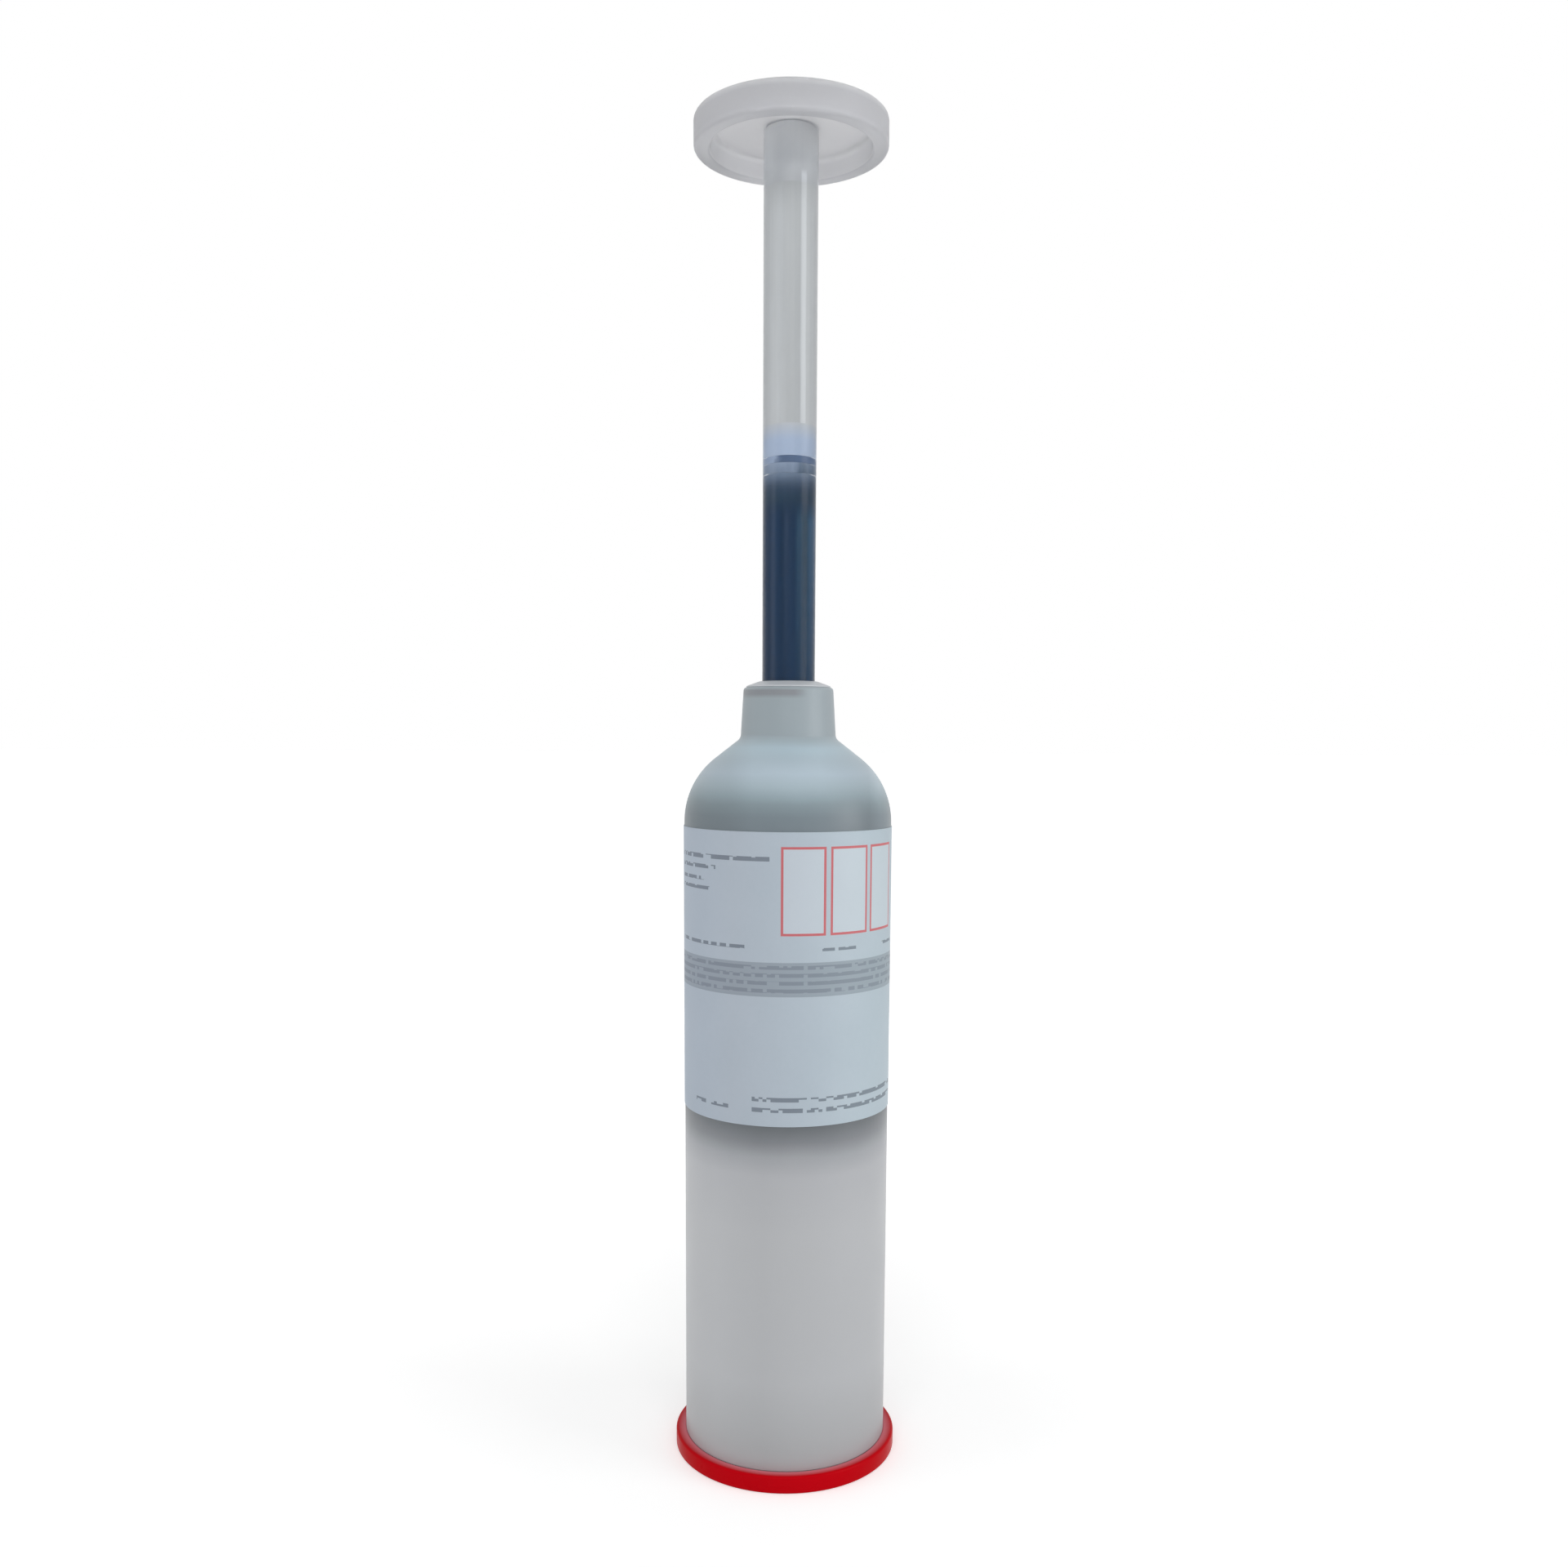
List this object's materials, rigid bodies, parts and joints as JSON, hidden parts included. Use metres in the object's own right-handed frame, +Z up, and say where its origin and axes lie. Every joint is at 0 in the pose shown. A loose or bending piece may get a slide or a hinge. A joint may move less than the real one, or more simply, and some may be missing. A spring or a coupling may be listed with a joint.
{
  "type": "two-part epoxy mixing syringe",
  "caption": "Upright mixing cartridge: a domed barrel of resin on a push-fit base cap, with a hollow plunger rod of hardener, a disc handle and a mixing head inside.",
  "frame": {"origin": "centre of the base cap's underside, on the barrel's axis", "axes": "+Z up along the barrel and the rod, -Y towards the front of the label, +X to the right as seen from the front"},
  "size_m": [0.0528, 0.0528, 0.3056],
  "materials": {
    "red_plastic": "moulded red polyethylene",
    "milky_plastic": "milky translucent polyethylene",
    "label_paper": "plain paper label with a grey band",
    "resin": "thick blue-grey paste",
    "white_plastic": "natural polyethylene",
    "soft_rubber": "soft moulded rubber",
    "hardener": "dark blue fluid",
    "pale_blue_plastic": "translucent polyethylene tinted by the fluid"
  },
  "bodies": {
    "base_cap": {"base_cap": "red_plastic"},
    "barrel": {"barrel": "milky_plastic", "label": "label_paper", "resin": "resin"},
    "base_plunger": {"base_plunger": "white_plastic"},
    "neck_bush": {"neck_bush": "white_plastic"},
    "mixing_rod": {"mixing_tube": "milky_plastic", "handle": "milky_plastic", "dasher": "white_plastic", "hardener": "hardener"},
    "dasher_valve": {"dasher_valve": "soft_rubber"},
    "hardener_piston": {"hardener_piston": "pale_blue_plastic", "piston_seal": "soft_rubber"}
  },
  "joints": [
    {"name": "cap_pull", "type": "slide", "parent": "base_cap", "child": "barrel", "axis": [0, 0, 1], "range_m": [0, 0.025]},
    {"name": "plunger_slide", "type": "slide", "parent": "barrel", "child": "base_plunger", "axis": [0, 0, 1], "range_m": [-0.061, 0]},
    {"name": "rod_spin", "type": "hinge", "parent": "barrel", "child": "neck_bush", "pos_m": [0, 0, 0.178], "axis": [0, 0, 1], "continuous": true},
    {"name": "rod_slide", "type": "slide", "parent": "neck_bush", "child": "mixing_rod", "axis": [0, 0, 1], "range_m": [0, 0.06], "deforming": ["resin"]},
    {"name": "piston_slide", "type": "slide", "parent": "mixing_rod", "child": "hardener_piston", "axis": [0, 0, 1], "range_m": [-0.133, 0], "deforming": ["hardener"]},
    {"name": "valve_lift", "type": "slide", "parent": "mixing_rod", "child": "dasher_valve", "axis": [0, 0, 1], "range_m": [-0.001, 0], "stiffness_N_per_m": 5}
  ]
}
